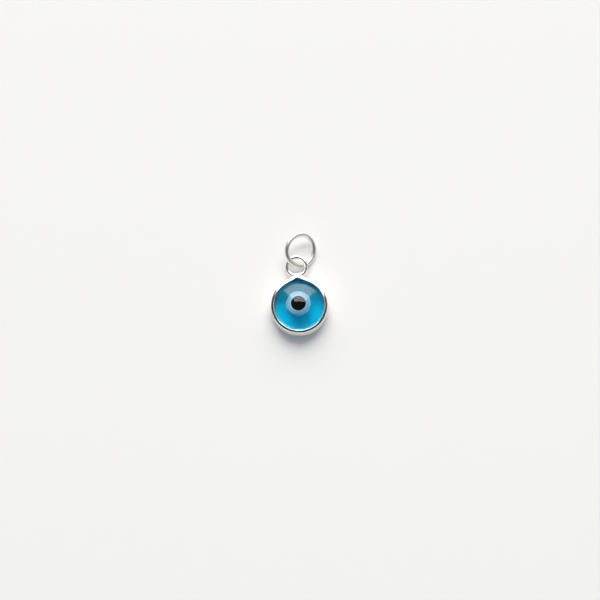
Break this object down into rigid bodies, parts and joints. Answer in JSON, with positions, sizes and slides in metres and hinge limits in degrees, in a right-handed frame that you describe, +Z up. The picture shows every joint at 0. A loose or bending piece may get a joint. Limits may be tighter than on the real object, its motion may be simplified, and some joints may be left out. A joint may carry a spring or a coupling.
{
  "type": "evil eye pendant",
  "caption": "Domed blue glass bead with an eye, edge-set in a pinched silver strip with a soldered loop and an open jump ring, lying flat.",
  "frame": {"origin": "on the surface it lies on, under the middle of the whole piece", "axes": "+Z up, +Y along the pendant from the bead towards the jump ring, +X to the right of the eye seen from above"},
  "size_m": [0.0078, 0.0142, 0.0032],
  "materials": {
    "blue_glass": "polished",
    "pale_glass": "polished",
    "black_glass": "polished",
    "silver": "polished"
  },
  "bodies": {
    "root": {"glass_body": "blue_glass", "eye_white": "pale_glass", "pupil": "black_glass", "bezel": "silver", "jump_ring": "silver"}
  },
  "joints": []
}
